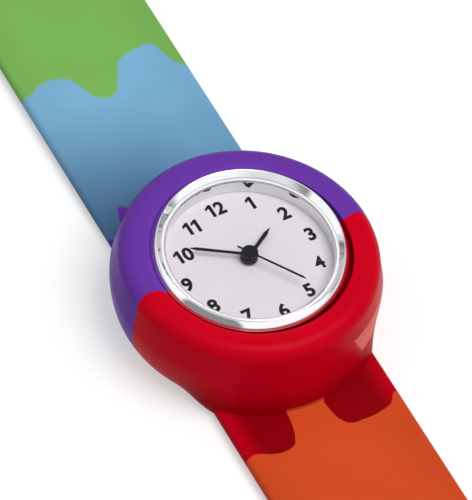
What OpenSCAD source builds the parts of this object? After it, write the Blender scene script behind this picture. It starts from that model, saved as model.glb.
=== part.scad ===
// Slap watch: a round quartz watch capsule held in a silicone head,
// on a silicone sleeve over a bistable steel strip that snaps round the wrist.
// The origin lies on the dial axis, on the surface that the watch rests on.
// +Y points to 12 o'clock, +X to 3 o'clock and +Z out of the dial.

/* [Band] */
// Width of the silicone band
band_width = 27.4; // [25:0.2:30]
// Thickness of the band along its middle
band_thickness = 2.1; // [1.9:0.1:2.6]
// How far the band's edges bow up above its middle
band_bow = 0.5; // [0.2:0.1:0.7]
// Width of the rounding along each edge of the band
band_edge = 1.1; // [0.8:0.1:1.6]
// Distance from the head's side to the first bend line
bend_start = 1.65; // [1.5:0.05:4]
// Distance from one bend line to the next
bend_pitch = 15.4; // [14:0.2:17]
// Corner radius of the band's tips, seen from above
tip_radius = 11; // [6:0.5:12]
// Width of the steel strip
strip_width = 21; // [18:0.5:22.5]
// Thickness of the steel strip
strip_thickness = 0.25; // [0.15:0.05:0.35]
// Height of the strip's middle above the band's underside
strip_height = 0.85; // [0.7:0.05:1]
// Silicone left beyond the strip at the tips
tip_wall = 3.5; // [2.5:0.5:6]

/* [Head] */
// Width of the silicone round the bezel, seen from above
collar_width = 5.05; // [4.4:0.05:5.6]
// How far the head flares out below its top edge
head_flare = 0.75; // [0.3:0.05:1.4]
// Height at which the head is widest
head_belly = 9; // [7:0.5:10]
// Rounding of the head's outer top edge
rim_round = 2.6; // [1.6:0.1:3]
// How far the head's side draws in from its widest place down to the foot
foot_round = 4.15; // [3:0.05:4.6]
// Height to which the silicone sweeps up from the band onto the head
root_height = 8; // [6:0.5:9]
// Height of the head's outer top edge above the bezel's underside
rim_lift = 0.6; // [0.2:0.1:0.8]
// Height of the silicone against the bezel, above the bezel's underside
collar_lift = 0.3; // [0.15:0.05:0.8]
// Height of the floor that the watch capsule sits on
pocket_floor = 6; // [5:0.1:7]

/* [Watch case] */
// Radius of the case's body
case_radius = 14; // [13:0.1:15.5]
// Thickness of the case's wall
case_wall = 0.8; // [0.7:0.05:1.1]
// How far the bezel stands out past the case's body
bezel_overhang = 0.88; // [0.6:0.02:1.2]
// Height of the bezel above its underside
bezel_height = 1.75; // [1.6:0.05:2.1]
// Width of the ledge that holds the dial down
dial_ledge = 0.3; // [0.25:0.05:0.5]
// Width of the ledge that carries the crystal
crystal_ledge = 0.5; // [0.45:0.05:0.7]
// Thickness of the crystal
crystal_thickness = 1; // [0.8:0.1:1.2]
// Height of the crystal's underside above the bezel's underside
crystal_lift = 0.25; // [0.1:0.05:0.4]
// Depth from the crystal down to the dial
dial_depth = 2.4; // [2.1:0.05:2.8]
// Thickness of the dial
dial_thickness = 0.4; // [0.3:0.05:0.5]
// Thickness of the case back
back_thickness = 0.6; // [0.5:0.05:0.8]
// Height of the rim inside the case back
back_rim = 0.95; // [0.8:0.05:1.2]

/* [Hands] */
// Length of the hour hand from the centre
hour_length = 6.6; // [5.5:0.1:7.5]
// Length of the minute hand from the centre
minute_length = 9.1; // [8:0.1:10]
// Length of the second hand from the centre
second_length = 9.6; // [8:0.1:11]
// Width of the hour hand
hour_width = 0.62; // [0.5:0.05:1.2]
// Width of the minute hand
minute_width = 0.46; // [0.4:0.05:1]
// Width of the second hand
second_width = 0.28; // [0.2:0.05:0.4]
// Angle of the hour hand, clockwise from 12
hour_angle = 57; // [0:1:359]
// Angle of the minute hand, clockwise from 12
minute_angle = 301; // [0:1:359]
// Angle of the second hand, clockwise from 12
second_angle = 145; // [0:1:359]

/* [Movement] */
// Height of the movement, from its bridge to the top of its plate
movement_height = 3.25; // [3:0.05:3.6]
// Room for the motion work between the plate and the dial
motion_room = 0.95; // [0.85:0.05:1.2]
// Width of the spacer ring round the movement's plate
ring_width = 4.15; // [3.6:0.05:4.6]
// Distance of the third and fifth arbors from the dial axis, as a share of the plate's radius
train_share = 0.3182; // [0.3:0.002:0.33]
// Distance between the fifth arbor and the rotor, as a share of the plate's radius
rotor_share = 0.2541; // [0.24:0.002:0.26]
// Distance of the minute wheel from the dial axis, as a share of the plate's radius
motion_share = 0.2762; // [0.26:0.002:0.3]
// Radius of the crown
crown_radius = 1.2; // [1:0.05:1.3]
// Travel of the crown when it is pulled
crown_travel = 0.8; // [0.5:0.1:0.9]

/* [Hidden] */

// Overrun of every cut past the faces that it opens
overrun = 0.5;
// Gap between neighbouring sections of the band at a bend line
bend_gap = 0.1;
// Clearance of the strip in its pocket
strip_play = 0.1;
// Clearances of the case and the bezel in the silicone
case_play = 0.3;
bezel_play = 0.27;
bezel_drop = 0.09;
floor_gap = 0.2;
// Clearance between pieces that are pressed or glued together
fit_gap = 0.03;
// Running clearance of an arbor in its hole, and of wider tubes and rings
arbor_play = 0.05;
tube_play = 0.1;
// Clearance of the dial in the case
dial_play = 0.09;
// Sides of the faceted round pieces in the movement
small_sides = 12;
large_sides = 48;
// Segments of the smooth turned pieces
smooth_sides = 96;
// Steps of the band's bowed outline, its edge and its tip
bow_steps = 6;
edge_steps = 5;
tip_steps = 8;
round_steps = 7;
section_count = 6;

// Heights of the capsule, stacked from the pocket's floor
case_bottom = pocket_floor + floor_gap;
movement_bottom = case_bottom + back_thickness + back_rim;
plate_top = movement_bottom + movement_height;
dial_face = plate_top + motion_room + dial_thickness;
crystal_seat = dial_face + dial_depth;
bezel_seat = crystal_seat - crystal_lift;
bezel_top = bezel_seat + bezel_height;

// Radii of the capsule, worked out from the case's body
cavity_radius = case_radius - case_wall;
dial_radius = cavity_radius - dial_play;
dial_wall_radius = cavity_radius - dial_ledge;
shoulder_height = dial_face + arbor_play;
crystal_bore = dial_wall_radius + crystal_ledge;
gasket_width = 0.35;
crystal_radius = crystal_bore - gasket_width;
bezel_radius = case_radius + bezel_overhang;
plate_radius = cavity_radius - ring_width;
bezel_round = (bezel_radius - crystal_bore) / 2;
bezel_mid = bezel_radius - bezel_round;

// The head, worked out from the capsule that it holds
pocket_radius = case_radius + case_play;
counterbore_radius = bezel_radius + bezel_play;
counterbore_floor = bezel_seat - bezel_drop;
collar_height = bezel_seat + collar_lift;
rim_radius = counterbore_radius + collar_width;
rim_height = bezel_seat + rim_lift;
rim_angle = 82;
head_radius = rim_radius + head_flare;

half_band = band_width / 2;
first_bend = head_radius + bend_start;
band_tip = first_bend + section_count * bend_pitch;
// Reach of the sweep along the band, which ends just before the root does
root_land = 0.25;
root_reach = first_bend - bend_gap / 2 - root_land;

// Colour borders, as shares of the half width across and of the pitch along the band
blue_border_shares = [
    [-1.1, 0.69], [-0.78, 0.76], [-0.61, 0.79], [-0.43, 0.76], [-0.33, 0.68],
    [-0.27, 0.53], [-0.2, 0.42], [-0.11, 0.37], [-0.01, 0.36], [0.08, 0.43],
    [0.21, 0.62], [0.3, 0.75], [0.39, 0.79], [0.56, 0.82], [0.73, 0.82],
    [0.79, 0.76], [0.83, 0.64], [0.87, 0.52], [1.1, 0.42]
];
red_border_shares = [
    [-1.1, 0.31], [-0.96, 0.27], [-0.84, 0.3], [-0.67, 0.35], [-0.53, 0.36],
    [-0.41, 0.31], [-0.36, 0.21], [-0.33, 0.08], [-0.3, -0.1], [0.17, -0.1],
    [0.19, 0.11], [0.22, 0.23], [0.3, 0.32], [0.42, 0.34], [0.7, 0.32],
    [0.84, 0.29], [0.93, 0.21], [1.1, 0.17]
];
// Border between purple and red across the head, as shares of its radius
head_border_shares = [
    [-1.2, -0.17], [-1.04, -0.17], [-0.98, -0.1], [-0.9, -0.06], [-0.81, -0.06],
    [-0.73, -0.1], [0.7, -0.05], [0.78, -0.03], [0.9, -0.02], [1.2, -0.02]
];
// Width of the purple round the head's foot, on the band
foot_margin = 0.3;

// Height of the bowed surface above its lowest line, at x from the middle
function bow_rise(x) = band_bow * pow(x / half_band, 2);

function bowed_line(half, base) = [
    for (i = [-bow_steps : bow_steps])
        let (x = half * i / bow_steps)
        [x, base + bow_rise(x)]
];

function reversed(list) = [for (i = [len(list) - 1 : -1 : 0]) list[i]];

// Outline of a bowed bar with square edges
function bowed_bar(half, base, thick) =
    concat(bowed_line(half, base), reversed(bowed_line(half, base + thick)));

// Rounded edge of the band, from its underside to its top, on one side
function band_side(side) = [
    for (k = [1 : edge_steps])
        let (a = -90 + 180 * k / (edge_steps + 1))
        let (inner = half_band - band_edge)
        let (middle = bow_rise(inner) + band_thickness / 2)
        [side * (inner + band_edge * cos(a)), middle + band_thickness / 2 * sin(a)]
];

function band_outline() = concat(
    bowed_line(half_band - band_edge, 0),
    band_side(1),
    reversed(bowed_line(half_band - band_edge, band_thickness)),
    reversed(band_side(-1))
);

// A bar with an outline across the band, from y0 to y1
module band_bar(outline, y0, y1) {
    translate([0, y1, 0])
        rotate([90, 0, 0])
            linear_extrude(y1 - y0)
                polygon(outline);
}

module strip_pocket(y0, y1) {
    band_bar(bowed_bar(strip_width / 2 + strip_play, strip_height - strip_play,
                       strip_thickness + 2 * strip_play), y0, y1);
}

module strip_piece(y0, y1) {
    band_bar(bowed_bar(strip_width / 2, strip_height, strip_thickness), y0, y1);
}

// Plan of the band's tip: straight sides and two rounded corners
module tip_plan(y0, y1, half, radius) {
    translate([0, 0, -overrun])
        linear_extrude(band_thickness + band_bow + 2 * overrun)
            polygon(concat(
                [[-half, y0 - overrun], [half, y0 - overrun]],
                [for (k = [0 : tip_steps])
                    let (a = 90 * k / tip_steps)
                    [half - radius + radius * cos(a), y1 - radius + radius * sin(a)]],
                [for (k = [0 : tip_steps])
                    let (a = 90 + 90 * k / tip_steps)
                    [-half + radius + radius * cos(a), y1 - radius + radius * sin(a)]]
            ));
}

// Start and end of one section of an arm, counted from the head
function section_start(i) = first_bend + (i - 1) * bend_pitch + bend_gap / 2;
function section_end(i) =
    i == section_count ? band_tip : first_bend + i * bend_pitch - bend_gap / 2;

module sleeve_section(i) {
    y0 = section_start(i);
    y1 = section_end(i);
    is_tip = i == section_count;
    difference() {
        intersection() {
            band_bar(band_outline(), y0, y1);
            tip_plan(y0, is_tip ? y1 : y1 + tip_radius + overrun, half_band + fit_gap, tip_radius);
        }
        intersection() {
            strip_pocket(y0 - overrun, is_tip ? y1 - tip_wall + strip_play : y1 + overrun);
            tip_plan(y0 - overrun, is_tip ? y1 - tip_wall + strip_play : y1 + tip_radius + overrun,
                     strip_width / 2 + strip_play, tip_radius - tip_wall + strip_play);
        }
    }
}

module strip_section(i) {
    y0 = section_start(i);
    is_tip = i == section_count;
    y1 = is_tip ? section_end(i) - tip_wall : section_end(i);
    intersection() {
        strip_piece(y0, y1);
        tip_plan(y0, is_tip ? y1 : y1 + tip_radius + overrun, strip_width / 2, tip_radius - tip_wall);
    }
}

// Everything on the head's side of a border across the band
module border_zone(shares, y0) {
    translate([0, 0, -overrun])
        linear_extrude(band_thickness + band_bow + 2 * overrun)
            polygon(concat(
                [for (s = shares) [s[0] * half_band, y0 + s[1] * bend_pitch]],
                [[band_width, y0 - bend_pitch], [-band_width, y0 - bend_pitch]]
            ));
}

// Outline of the head with the pocket for the watch capsule
function head_outline() = concat(
    [[0, 0]],
    [for (k = [0 : round_steps])
        let (a = -90 + 90 * k / round_steps)
        [head_radius - foot_round + foot_round * cos(a), head_belly + head_belly * sin(a)]],
    [for (k = [0 : round_steps])
        let (a = rim_angle * k / round_steps)
        [rim_radius - rim_round + rim_round * cos(a), rim_height - rim_round + rim_round * sin(a)]],
    [[counterbore_radius, collar_height],
     [counterbore_radius, counterbore_floor],
     [pocket_radius, counterbore_floor],
     [pocket_radius, pocket_floor],
     [0, pocket_floor]]
);

// Hollow sweep from the head's side down onto the band, up to the reach of the roots
function root_outline() = concat(
    [[pocket_radius + overrun, band_thickness / 2]],
    [for (k = [0 : round_steps])
        let (t = k / round_steps)
        let (z = band_thickness + (root_height - band_thickness) * t)
        [head_radius + (root_reach - head_radius) * pow(1 - t, 2), z]],
    [[pocket_radius + overrun, root_height]]
);

// Cross-section of the sweep: highest along the band's middle, level with its edges
function root_hill() = concat(
    [for (k = [-round_steps : round_steps])
        let (x = (half_band - band_edge) * k / round_steps)
        [x, band_thickness + (root_height - band_thickness) * (1 - pow(k / round_steps, 4)) + band_bow]],
    [[half_band - band_edge, band_thickness / 2], [band_edge - half_band, band_thickness / 2]]
);

// The head and the band's two roots as one body, with the strip's pocket
module head_and_roots() {
    root_end = first_bend - bend_gap / 2;
    difference() {
        union() {
            rotate_extrude($fn = smooth_sides)
                polygon(head_outline());
            difference() {
                band_bar(band_outline(), -root_end, root_end);
                cylinder(r = pocket_radius + overrun, h = collar_height, $fn = smooth_sides);
            }
            intersection() {
                rotate_extrude($fn = smooth_sides)
                    polygon(root_outline());
                band_bar(reversed(root_hill()), -root_end, root_end);
            }
        }
        strip_pocket(-first_bend - overrun, first_bend + overrun);
        translate([case_radius - overrun, 0, stem_height])
            rotate([0, 90, 0])
                cylinder(r = crown_radius + case_play, h = overrun + crown_travel + crown_room,
                         $fn = smooth_sides);
    }
}

// The half of the plan that is purple: the head's upper side
module purple_half() {
    translate([0, 0, -overrun])
        linear_extrude(bezel_top + 2 * overrun)
            polygon(concat(
                [for (s = head_border_shares) [s[0] * head_radius, s[1] * head_radius]],
                [[band_tip, band_tip], [-band_tip, band_tip]]
            ));
}

// The plan outside the head's foot, where the upper root is blue
module foot_ring() {
    translate([0, 0, -overrun])
        difference() {
            linear_extrude(bezel_top + 2 * overrun)
                square([2 * band_tip, 2 * band_tip], center = true);
            translate([0, 0, -overrun])
                cylinder(r = head_radius + foot_margin, h = bezel_top + 4 * overrun,
                         $fn = smooth_sides);
        }
}

module silicone_purple() {
    color("rebeccapurple")
        difference() {
            intersection() {
                head_and_roots();
                purple_half();
            }
            foot_ring();
        }
}

module silicone_red() {
    color("crimson")
        difference() {
            head_and_roots();
            purple_half();
        }
}

module silicone_blue_root() {
    color("skyblue")
        intersection() {
            head_and_roots();
            purple_half();
            foot_ring();
        }
}

module spring_strip_centre() {
    color("silver")
        strip_piece(-first_bend + bend_gap / 2, first_bend - bend_gap / 2);
}

module upper_blue(i) {
    color("skyblue")
        intersection() {
            sleeve_section(i);
            border_zone(blue_border_shares, section_start(2));
        }
}

module upper_green(i) {
    color("yellowgreen")
        difference() {
            sleeve_section(i);
            border_zone(blue_border_shares, section_start(2));
        }
}

module upper_strip(i) {
    color("silver")
        strip_section(i);
}

module lower_red(i) {
    color("crimson")
        mirror([0, 1, 0])
            intersection() {
                sleeve_section(i);
                border_zone(red_border_shares, section_start(1));
            }
}

module lower_orange(i) {
    color("chocolate")
        mirror([0, 1, 0])
            difference() {
                sleeve_section(i);
                border_zone(red_border_shares, section_start(1));
            }
}

module lower_strip(i) {
    color("silver")
        mirror([0, 1, 0])
            strip_section(i);
}

// Watch case

// Sizes of the case back's seat, the stem and the crown
back_ledge = 0.3;
back_seat_radius = cavity_radius + back_ledge;
gasket_thickness = 0.2;
back_seat_height = back_thickness + gasket_thickness;
notch_depth = 0.45;
stem_radius = 0.35;
crown_length = 0.53;
crown_proud = 0.15;
crown_room = 0.6;

module case() {
    color("gainsboro")
        difference() {
            rotate_extrude($fn = smooth_sides)
                polygon(concat(
                    [[back_seat_radius, case_bottom],
                     [case_radius, case_bottom],
                     [case_radius, bezel_seat],
                     [bezel_radius, bezel_seat]],
                    [for (k = [0 : round_steps + 1])
                        let (a = 180 * k / (round_steps + 1))
                        [bezel_mid + bezel_round * cos(a), bezel_top - bezel_round + bezel_round * sin(a)]],
                    [[crystal_bore, crystal_seat],
                     [dial_wall_radius, crystal_seat],
                     [dial_wall_radius, shoulder_height],
                     [cavity_radius, shoulder_height],
                     [cavity_radius, case_bottom + back_seat_height],
                     [back_seat_radius, case_bottom + back_seat_height]]
                ));
            translate([0, 0, stem_height])
                rotate([0, 90, 0])
                    cylinder(r = stem_radius + arbor_play, h = case_radius + overrun,
                             $fn = smooth_sides);
            translate([case_radius - notch_depth, 0, stem_height])
                rotate([0, 90, 0])
                    cylinder(r = crown_radius + tube_play, h = notch_depth + overrun,
                             $fn = smooth_sides);
        }
}

module crystal() {
    color("lightcyan")
        translate([0, 0, crystal_seat])
            cylinder(r = crystal_radius, h = crystal_thickness, $fn = smooth_sides);
}

module crystal_gasket() {
    color("white")
        translate([0, 0, crystal_seat])
            difference() {
                cylinder(r = crystal_bore - fit_gap, h = crystal_thickness, $fn = smooth_sides);
                translate([0, 0, -overrun])
                    cylinder(r = crystal_radius + fit_gap, h = crystal_thickness + 2 * overrun,
                             $fn = smooth_sides);
            }
}

module case_back() {
    rim_width = 0.6;
    rim_outer = cavity_radius - tube_play;
    color("silver")
        translate([0, 0, case_bottom]) {
            cylinder(r = back_seat_radius - arbor_play, h = back_thickness, $fn = smooth_sides);
            difference() {
                cylinder(r = rim_outer, h = movement_bottom - arbor_play - case_bottom,
                         $fn = smooth_sides);
                translate([0, 0, back_thickness])
                    cylinder(r = rim_outer - rim_width, h = back_seat_height + overrun,
                             $fn = smooth_sides);
            }
        }
}

module back_gasket() {
    color("dimgray")
        translate([0, 0, case_bottom + back_thickness])
            difference() {
                cylinder(r = back_seat_radius - arbor_play, h = gasket_thickness, $fn = smooth_sides);
                translate([0, 0, -overrun])
                    cylinder(r = cavity_radius, h = back_seat_height + 2 * overrun,
                             $fn = smooth_sides);
            }
}

// Movement heights, from the back up to the hands
bridge_thickness = 0.5;
plate_thickness = 0.6;
plate_bottom = plate_top - plate_thickness;
train_floor = movement_bottom + bridge_thickness;
train_room = plate_bottom - train_floor;
stem_height = train_floor + train_room / 2;
wheel_thickness = 0.2;
// Heights of the wheels, as shares of the room between bridge and plate
fifth_share = 0.093;
fourth_share = 0.302;
third_share = 0.465;
centre_share = 0.814;
fifth_wheel_z = train_floor + fifth_share * train_room;
fourth_wheel_z = train_floor + fourth_share * train_room;
third_wheel_z = train_floor + third_share * train_room;
centre_wheel_z = train_floor + centre_share * train_room;
motion_lift = 0.15;
motion_step = 0.3;
motion_wheel_z = plate_top + motion_lift;
hour_wheel_z = motion_wheel_z + motion_step;
motion_thickness = 0.25;
pinion_overlap = 0.1;
arbor_radius = 0.15;
// How far the arbors' ends stay inside the bridge and the plate
arbor_inset = 0.12;
arbor_bottom = movement_bottom + arbor_inset;
arbor_top = plate_top - arbor_inset;
centre_tube_radius = 0.45;
hour_tube_radius = 0.8;
hand_thickness = 0.2;
hub_lift = 0.4;
hour_hub_z = dial_face + hub_lift;
hub_height = 0.45;
hub_gap = 0.1;
minute_hub_z = hour_hub_z + hub_height + hub_gap;
second_hub_z = minute_hub_z + hub_height + hub_gap;
hour_hub_radius = 1.4;
minute_hub_radius = 1.35;
second_hub_radius = 1.25;

// Tooth counts
centre_teeth = 64;
third_pinion_teeth = 8;
third_teeth = 60;
fourth_pinion_teeth = 8;
fourth_teeth = 40;
fifth_pinion_teeth = 8;
fifth_teeth = 36;
rotor_pinion_teeth = 6;
cannon_teeth = 12;
minute_wheel_teeth = 36;
minute_pinion_teeth = 10;
hour_teeth = 40;

// Distances and directions of the arbors, counter-clockwise from 3 o'clock
train_distance = train_share * plate_radius;
rotor_distance = rotor_share * plate_radius;
motion_distance = motion_share * plate_radius;
third_direction = 90;
fifth_direction = -60;
motion_direction = 0;

// Half widths of a tooth at its root and tip, as shares of the tooth spacing
tooth_root_share = 0.26;
tooth_tip_share = 0.1;
// Tooth heights outside and inside the pitch circle, as shares of the module
addendum_share = 0.95;
dedendum_share = 1.2;

function place(distance, direction) = [distance * cos(direction), distance * sin(direction), 0];
third_place = place(train_distance, third_direction);
fifth_place = place(train_distance, fifth_direction);
rotor_place = place(train_distance + rotor_distance, fifth_direction);
motion_place = place(motion_distance, motion_direction);

// The button cell fills the room between the centre wheel and the plate's edge
cell_rim = 0.55;
cell_start = tube_play + mesh_module(train_distance, centre_teeth, third_pinion_teeth)
    * (centre_teeth / 2 + addendum_share);
cell_radius = (plate_radius - cell_rim - cell_start) / 2;
cell_place = [-cell_start - cell_radius, 0, 0];

// A flat-sided disc with its corners on a circle
module disc(radius, height, sides = small_sides) {
    linear_extrude(height)
        polygon([for (k = [0 : sides - 1]) radius * [cos(360 * k / sides), sin(360 * k / sides)]]);
}

// A toothed wheel at its module, with one tooth or gap turned to an angle
module toothed(teeth, size, thickness, turn) {
    pitch_radius = teeth * size / 2;
    step = 360 / teeth;
    tooth = [
        [-tooth_root_share, -dedendum_share], [-tooth_tip_share, addendum_share],
        [tooth_tip_share, addendum_share], [tooth_root_share, -dedendum_share]
    ];
    rotate([0, 0, turn])
        linear_extrude(thickness)
            polygon([
                for (i = [0 : teeth - 1])
                    for (p = tooth)
                        let (a = (i + p[0]) * step)
                        (pitch_radius + p[1] * size) * [cos(a), sin(a)]
            ]);
}

// The module of two meshed wheels at a distance
function mesh_module(distance, teeth_a, teeth_b) = 2 * distance / (teeth_a + teeth_b);
// The turn that puts a gap, and not a tooth, in a direction
function gap_turn(direction, teeth) = direction + 180 / teeth;

module arbor_hole(at, z0, z1, radius) {
    translate([at[0], at[1], z0 - overrun])
        disc(radius, z1 - z0 + 2 * overrun);
}

module dial() {
    color("white")
        translate([0, 0, dial_face - dial_thickness])
            difference() {
                cylinder(r = dial_radius, h = dial_thickness, $fn = smooth_sides);
                translate([0, 0, -overrun])
                    disc(hour_tube_radius + tube_play, dial_thickness + 2 * overrun);
            }
}

// Moulded spacer between the case and the movement, hollow on its back
module movement_ring() {
    wall_share = 0.25;
    ring_top = dial_face - dial_thickness - arbor_play;
    ring_outer = cavity_radius - tube_play;
    ring_inner = plate_radius + tube_play;
    ring_wall = wall_share * (ring_outer - ring_inner);
    color("ivory")
        difference() {
            translate([0, 0, movement_bottom])
                linear_extrude(ring_top - movement_bottom)
                    difference() {
                        polygon([for (k = [0 : 2 * large_sides - 1])
                            ring_outer * [cos(180 * k / large_sides), sin(180 * k / large_sides)]]);
                        polygon([for (k = [0 : large_sides - 1])
                            ring_inner * [cos(360 * k / large_sides), sin(360 * k / large_sides)]]);
                    }
            translate([0, 0, movement_bottom - overrun])
                difference() {
                    disc(ring_outer - ring_wall, ring_top - movement_bottom - ring_wall + overrun,
                         large_sides);
                    translate([0, 0, -overrun])
                        disc(ring_inner + ring_wall, ring_top - movement_bottom + 2 * overrun,
                             large_sides);
                }
            translate([0, 0, stem_height])
                rotate([0, 90, 0])
                    disc(stem_radius + tube_play, case_radius);
        }
}

module movement_plate() {
    color("goldenrod")
        difference() {
            translate([0, 0, plate_bottom])
                disc(plate_radius, plate_thickness, large_sides);
            arbor_hole([0, 0], plate_bottom, plate_top, centre_tube_radius + arbor_play);
            for (at = [third_place, fifth_place, rotor_place, motion_place])
                arbor_hole(at, plate_bottom, plate_top, arbor_radius + arbor_play);
        }
}

// Places of the bridge's pillars, as shares of the plate's radius
pillar_shares = [[0.69, 0.44], [-0.39, 0.7], [0.66, -0.49]];
pillar_radius = 0.5;

module train_bridge() {
    window_share = 0.597;
    color("goldenrod") {
        translate([0, 0, movement_bottom])
            difference() {
                disc(plate_radius - arbor_play, bridge_thickness, large_sides);
                translate([cell_place[0], cell_place[1], -overrun])
                    disc(cell_radius + 2 * tube_play, bridge_thickness + 2 * overrun, large_sides);
                translate([-plate_radius, -(1 + window_share) * plate_radius, -overrun])
                    cube([2 * plate_radius, plate_radius, bridge_thickness + 2 * overrun]);
                translate([0, 0, -movement_bottom])
                    for (at = [[0, 0], third_place, fifth_place, rotor_place])
                        arbor_hole(at, movement_bottom, movement_bottom + bridge_thickness,
                                   arbor_radius + arbor_play);
            }
        for (s = pillar_shares)
            translate([s[0] * plate_radius, s[1] * plate_radius, movement_bottom])
                disc(pillar_radius, plate_bottom - movement_bottom);
    }
}

module battery() {
    cell_height = train_room - arbor_play;
    cap_step = 0.15;
    cap_height = 0.2;
    color("lightgray")
        translate([cell_place[0], cell_place[1], train_floor]) {
            cylinder(r = cell_radius - cap_step, h = cap_height, $fn = smooth_sides);
            translate([0, 0, cap_height])
                cylinder(r = cell_radius, h = cell_height - cap_height, $fn = smooth_sides);
        }
}

// Motor parts: the sheet stator lies under the plate, the coil's core lies on its feet
stator_thickness = 0.3;
core_thickness = 0.2;
coil_radius = 0.42;
rotor_radius = 0.7;
rotor_gap = 0.25;
core_reach = 0.8;
core_width = 0.5;
// Line and ends of the winding, as shares of the plate's radius
coil_line_share = -0.74;
coil_left_share = -0.464;
coil_right_share = 0.243;
coil_line = coil_line_share * plate_radius;
coil_left = coil_left_share * plate_radius;
coil_right = coil_right_share * plate_radius;

module stator() {
    bar_width = 0.9;
    arm_wall = 0.6;
    foot_gap = 0.15;
    foot_low = coil_line - core_width / 2;
    bar_low = coil_line + coil_radius + rotor_gap;
    arm_half = rotor_radius + arm_wall;
    arm_high = rotor_place[1] + rotor_radius + rotor_gap + foot_gap;
    color("slategray")
        translate([0, 0, plate_bottom - stator_thickness])
            difference() {
                linear_extrude(stator_thickness)
                    polygon([
                        [coil_left - core_reach, foot_low],
                        [coil_left - foot_gap, foot_low],
                        [coil_left - foot_gap, bar_low],
                        [coil_right + foot_gap, bar_low],
                        [coil_right + foot_gap, foot_low],
                        [coil_right + core_reach + arm_half / 2, foot_low],
                        [rotor_place[0] + arm_half, bar_low],
                        [rotor_place[0] + arm_half, arm_high],
                        [rotor_place[0] - arm_half, arm_high],
                        [rotor_place[0] - arm_half, bar_low + bar_width],
                        [coil_left - core_reach, bar_low + bar_width]
                    ]);
                translate([rotor_place[0], rotor_place[1], -overrun])
                    disc(rotor_radius + rotor_gap, stator_thickness + 2 * overrun, large_sides);
            }
}

module coil() {
    core_z = plate_bottom - stator_thickness - core_thickness;
    color("orangered") {
        translate([coil_left, coil_line, core_z + core_thickness / 2])
            rotate([0, 90, 0])
                disc(coil_radius, coil_right - coil_left);
        translate([coil_left - core_reach, coil_line - core_width / 2, core_z])
            cube([coil_right - coil_left + 2 * core_reach, core_width, core_thickness]);
    }
}

// Wheels of the train: each arbor carries a wheel and a pinion
module fourth_wheel() {
    fourth_size = mesh_module(train_distance, fourth_teeth, fifth_pinion_teeth);
    pinion_size = mesh_module(train_distance, third_teeth, fourth_pinion_teeth);
    color("gold") {
        translate([0, 0, arbor_bottom])
            disc(arbor_radius, second_hub_z + hub_height - hub_gap - arbor_bottom);
        translate([0, 0, fourth_wheel_z])
            toothed(fourth_teeth, fourth_size, wheel_thickness, fifth_direction);
        translate([0, 0, third_wheel_z - pinion_overlap / 2])
            toothed(fourth_pinion_teeth, pinion_size, wheel_thickness + pinion_overlap,
                    gap_turn(third_direction, fourth_pinion_teeth));
    }
}

module third_wheel() {
    third_size = mesh_module(train_distance, third_teeth, fourth_pinion_teeth);
    pinion_size = mesh_module(train_distance, centre_teeth, third_pinion_teeth);
    color("gold")
        translate(third_place) {
            translate([0, 0, arbor_bottom])
                disc(arbor_radius, arbor_top - arbor_bottom);
            translate([0, 0, third_wheel_z])
                toothed(third_teeth, third_size, wheel_thickness, third_direction + 180);
            translate([0, 0, centre_wheel_z - pinion_overlap])
                toothed(third_pinion_teeth, pinion_size, wheel_thickness + 2 * pinion_overlap,
                        gap_turn(third_direction + 180, third_pinion_teeth));
        }
}

module fifth_wheel() {
    fifth_size = mesh_module(rotor_distance, fifth_teeth, rotor_pinion_teeth);
    pinion_size = mesh_module(train_distance, fourth_teeth, fifth_pinion_teeth);
    color("gold")
        translate(fifth_place) {
            translate([0, 0, arbor_bottom])
                disc(arbor_radius, arbor_top - arbor_bottom);
            translate([0, 0, fifth_wheel_z])
                toothed(fifth_teeth, fifth_size, wheel_thickness, fifth_direction);
            translate([0, 0, fourth_wheel_z - pinion_overlap])
                toothed(fifth_pinion_teeth, pinion_size, wheel_thickness + 2 * pinion_overlap,
                        gap_turn(fifth_direction + 180, fifth_pinion_teeth));
        }
}

module rotor() {
    pinion_size = mesh_module(rotor_distance, fifth_teeth, rotor_pinion_teeth);
    color("dimgray")
        translate(rotor_place) {
            translate([0, 0, arbor_bottom])
                disc(arbor_radius, arbor_top - arbor_bottom);
            translate([0, 0, fifth_wheel_z - pinion_overlap])
                toothed(rotor_pinion_teeth, pinion_size, wheel_thickness + 2 * pinion_overlap,
                        gap_turn(fifth_direction + 180, rotor_pinion_teeth));
            translate([0, 0, plate_bottom - stator_thickness - wheel_thickness])
                disc(rotor_radius, stator_thickness + wheel_thickness - arbor_play, large_sides);
        }
}

// The centre wheel carries the minute hand's tube and the cannon pinion
module centre_wheel() {
    centre_size = mesh_module(train_distance, centre_teeth, third_pinion_teeth);
    cannon_size = mesh_module(motion_distance, cannon_teeth, minute_wheel_teeth);
    color("gold")
        difference() {
            union() {
                translate([0, 0, centre_wheel_z])
                    disc(centre_tube_radius, minute_hub_z + hub_height - arbor_play - centre_wheel_z);
                translate([0, 0, centre_wheel_z])
                    toothed(centre_teeth, centre_size, wheel_thickness, third_direction);
                translate([0, 0, motion_wheel_z])
                    toothed(cannon_teeth, cannon_size, motion_thickness, motion_direction);
            }
            arbor_hole([0, 0], centre_wheel_z, second_hub_z, arbor_radius + arbor_play);
        }
}

module minute_wheel() {
    wheel_size = mesh_module(motion_distance, cannon_teeth, minute_wheel_teeth);
    pinion_size = mesh_module(motion_distance, minute_pinion_teeth, hour_teeth);
    color("gold")
        translate(motion_place) {
            translate([0, 0, plate_bottom + pinion_overlap])
                disc(arbor_radius, hour_wheel_z + motion_thickness - plate_bottom);
            translate([0, 0, motion_wheel_z])
                toothed(minute_wheel_teeth, wheel_size, motion_thickness,
                        gap_turn(motion_direction + 180, minute_wheel_teeth));
            translate([0, 0, motion_wheel_z + motion_thickness])
                toothed(minute_pinion_teeth, pinion_size,
                        hour_wheel_z - motion_wheel_z,
                        gap_turn(motion_direction + 180, minute_pinion_teeth));
        }
}

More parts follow.
